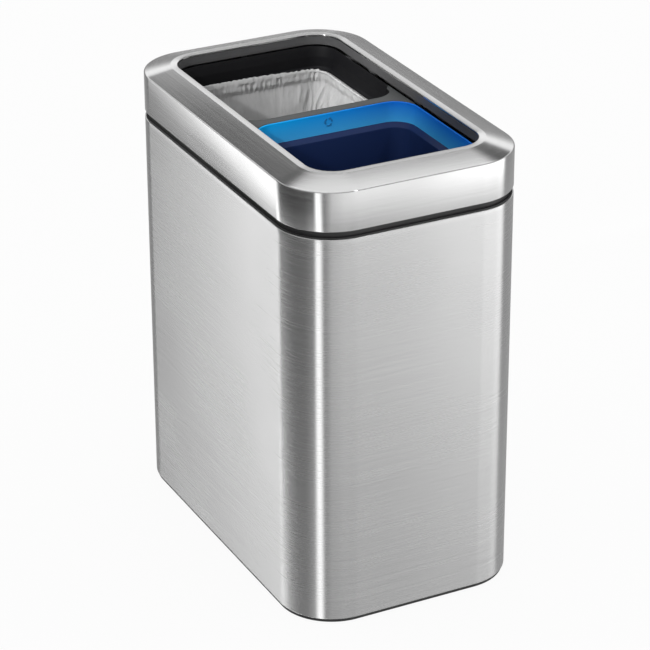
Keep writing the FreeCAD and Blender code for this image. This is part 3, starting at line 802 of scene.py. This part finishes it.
def studio_sky():
    world = bpy.data.worlds.new("studio")
    bpy.context.scene.world = world
    world.use_nodes = True
    tree = world.node_tree
    tree.nodes.clear()
    seen = node(tree, "ShaderNodeTexCoord").outputs["Generated"]
    way = node(tree, "ShaderNodeSeparateXYZ", {0: seen})
    left = maths(tree, "MULTIPLY", way.outputs["X"], -1)
    ahead = maths(tree, "MULTIPLY", way.outputs["Y"], -1)
    turn = maths(tree, "DIVIDE", maths(tree, "ARCTAN2", left, ahead), 2 * math.pi)
    rise = maths(tree, "ARCSINE", way.outputs["Z"])
    share = maths(tree, "ADD", turn, 0.5)
    height = maths(tree, "ADD", maths(tree, "DIVIDE", rise, math.pi), 0.5)
    upward = maths(tree, "SUBTRACT", ramp(tree, share, LOW_RISE, 360, 1), 0.5)
    doubling = maths(tree, "MULTIPLY", upward, RISE_SPAN)
    steps = maths(tree, "DIVIDE", maths(tree, "SUBTRACT", rise, REFERENCE), RISE_STEP)
    steps = maths(tree, "MINIMUM", steps, STEPS_MOST)
    growth = maths(tree, "POWER", 2, maths(tree, "MULTIPLY", doubling, steps))
    growth = maths(tree, "MINIMUM", maths(tree, "MAXIMUM", growth, GROWTH_LEAST), GROWTH_MOST)
    low = maths(tree, "MULTIPLY", ramp(tree, share, LOW_ROOM, 360, SKY_LEVEL), growth)
    high = ramp(tree, height, HIGH_ROOM, 180, SKY_LEVEL)
    room = tinted(tree, spread(tree, rise, 0, 1, LOW_ENDS, HIGH_STARTS), low, high)
    lit = node(tree, "ShaderNodeBackground", {"Color": room, "Strength": SKY_LEVEL})
    node(tree, "ShaderNodeOutputWorld", {"Surface": lit.outputs[0]})


studio_sky()

# %% [markdown]
# Two small soft lamps reach into the opening: one from the left front into the film bag, one from
# the right front onto the far wall of the blue bucket. Without them the inside of a bin is a
# black hole.

# %% Lamps
def soft_lamp(name, aim, toward, away, watts, cone, size):
    data = bpy.data.lights.new(name, "SPOT")
    data.energy = watts
    data.spot_size = math.radians(cone)
    data.spot_blend = 0.9
    data.shadow_soft_size = size
    lamp = link(name, data)
    back = Vector(toward).normalized()
    lamp.location = Vector(aim) + back * away
    lamp.rotation_mode = "QUATERNION"
    lamp.rotation_quaternion = (-back).to_track_quat("-Z", "Y")


soft_lamp("into the bag", aim=(0.07, 0.10, 0.42), toward=(-0.75, -0.30, 0.55), away=2.5,
          watts=420, cone=5.0, size=0.10)
soft_lamp("onto the blue wall", aim=(-0.05, -0.02, 0.445), toward=(0.35, -0.8, 0.6), away=2.5,
          watts=90, cone=4.5, size=0.12)

# %% [markdown]
# The floor is one large pale sheet. It takes the bin's shadow, and from underneath it is clear,
# so that the foot can be looked at too. Past it a pale hall closes the view; only the camera sees
# it, and the sky's light passes it.

# %% Floor and hall
FLOOR_HALF = 12.0
FLOOR_PAINT = 0.9
FLOOR_GLOW = 0.93                # how much of what the camera sees of it is even white
HALL_RADIUS = FLOOR_HALF * 1.6


def pale_floor():
    mesh = bpy.data.meshes.new("pale_floor")
    corners = [(x * FLOOR_HALF, y * FLOOR_HALF, 0) for x, y in ((-1, -1), (1, -1), (1, 1), (-1, 1))]
    mesh.from_pydata(corners, [], [(0, 1, 2, 3)])
    made = start_finish("pale floor")
    tree = made.node_tree
    path = node(tree, "ShaderNodeLightPath")
    seen = maths(tree, "MAXIMUM", path.outputs["Is Camera Ray"], path.outputs["Is Glossy Ray"])
    seen = maths(tree, "MAXIMUM", seen, path.outputs["Is Transmission Ray"])
    white = node(tree, "ShaderNodeEmission", {"Color": grey(1), "Strength": 1.0}).outputs[0]
    paint = node(tree, "ShaderNodeBsdfDiffuse", {"Color": grey(FLOOR_PAINT)}).outputs[0]
    glow = maths(tree, "MULTIPLY", seen, FLOOR_GLOW)
    top = node(tree, "ShaderNodeMixShader", {0: glow, 1: paint, 2: white}).outputs[0]
    clear = node(tree, "ShaderNodeBsdfTransparent").outputs[0]
    under = node(tree, "ShaderNodeNewGeometry").outputs["Backfacing"]
    both = node(tree, "ShaderNodeMixShader", {0: under, 1: top, 2: clear}).outputs[0]
    node(tree, "ShaderNodeOutputMaterial", {"Surface": both})
    floor = dress(link("pale_floor", mesh), made)
    floor.visible_glossy = False
    return floor


def pale_hall():
    bm = bmesh.new()
    bmesh.ops.create_uvsphere(bm, u_segments=48, v_segments=24, radius=HALL_RADIUS)
    mesh = bpy.data.meshes.new("pale_hall")
    bm.to_mesh(mesh)
    bm.free()
    made = start_finish("pale hall")
    glow = node(made.node_tree, "ShaderNodeEmission", {"Color": grey(1), "Strength": 1.0})
    node(made.node_tree, "ShaderNodeOutputMaterial", {"Surface": glow.outputs[0]})
    hall = dress(link("pale_hall", mesh), made)
    for kind in ("diffuse", "glossy", "transmission", "shadow", "volume_scatter"):
        setattr(hall, "visible_" + kind, False)
    return hall


pale_floor()
pale_hall()

# %% [markdown]
# ## The camera
#
# A long lens from well above and to the left, as in a catalogue: the far edges hardly converge.

# %% Camera
TURN, RISE, ROLL = math.radians(-26.845), math.radians(25.976), math.radians(-0.214)
AWAY = 2.9215
AIM = Vector((0.00275, 0.00373, 0.2189))
SENSOR = 36                      # mm
PHOTO_WIDTH = 650                # pixels
FOCAL = 2861                     # focal length in those pixels


def catalogue_camera():
    data = bpy.data.cameras.new("catalogue")
    data.sensor_width = SENSOR
    data.lens = FOCAL * SENSOR / PHOTO_WIDTH
    data.clip_end = 100
    camera = link("catalogue", data)
    back = Vector((math.sin(TURN) * math.cos(RISE), -math.cos(TURN) * math.cos(RISE), math.sin(RISE)))
    camera.location = AIM + back * AWAY
    camera.rotation_mode = "QUATERNION"
    facing = (-back).to_track_quat("-Z", "Y")
    camera.rotation_quaternion = facing @ Quaternion((0, 0, 1), ROLL)
    bpy.context.scene.camera = camera


catalogue_camera()
bpy.context.scene.view_settings.view_transform = "Standard"
